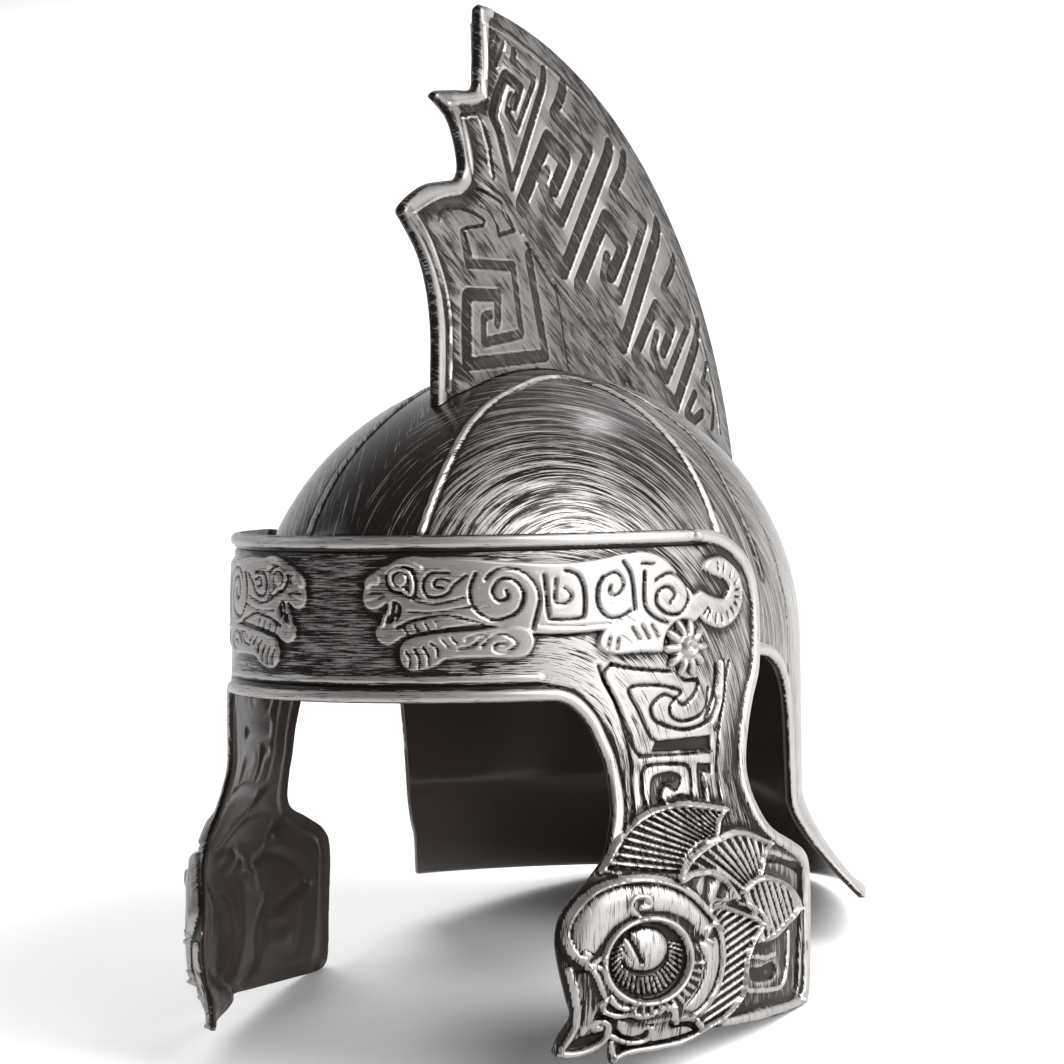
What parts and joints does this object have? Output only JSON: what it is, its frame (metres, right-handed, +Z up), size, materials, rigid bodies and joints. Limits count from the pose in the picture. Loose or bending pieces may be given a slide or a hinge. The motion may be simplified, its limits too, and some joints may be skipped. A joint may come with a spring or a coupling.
{
  "type": "gladiator helmet",
  "caption": "Gladiator helmet with a tall ornamented crest, a relief brow band and curved cheek guards on rosette rivets, resting on its lower edges.",
  "frame": {"origin": "centre of the footprint on the floor that the helmet rests on", "axes": "+Z up, +Y to the back of the helmet, +X to the wearer's left"},
  "size_m": [0.2246, 0.2962, 0.3686],
  "materials": {
    "silvered_plastic": "black moulded plastic, brushed with silver on its raised faces"
  },
  "bodies": {
    "helmet": {"skull": "silvered_plastic", "crest": "silvered_plastic"},
    "visor": {"face_guard": "silvered_plastic", "rosette_left": "silvered_plastic", "rosette_right": "silvered_plastic"}
  },
  "joints": [
    {"name": "visor_pivot", "type": "hinge", "parent": "helmet", "child": "visor", "pos_m": [0, -0.05976, 0.14257], "axis": [-1, 0, 0], "range_deg": [0, 22]}
  ]
}
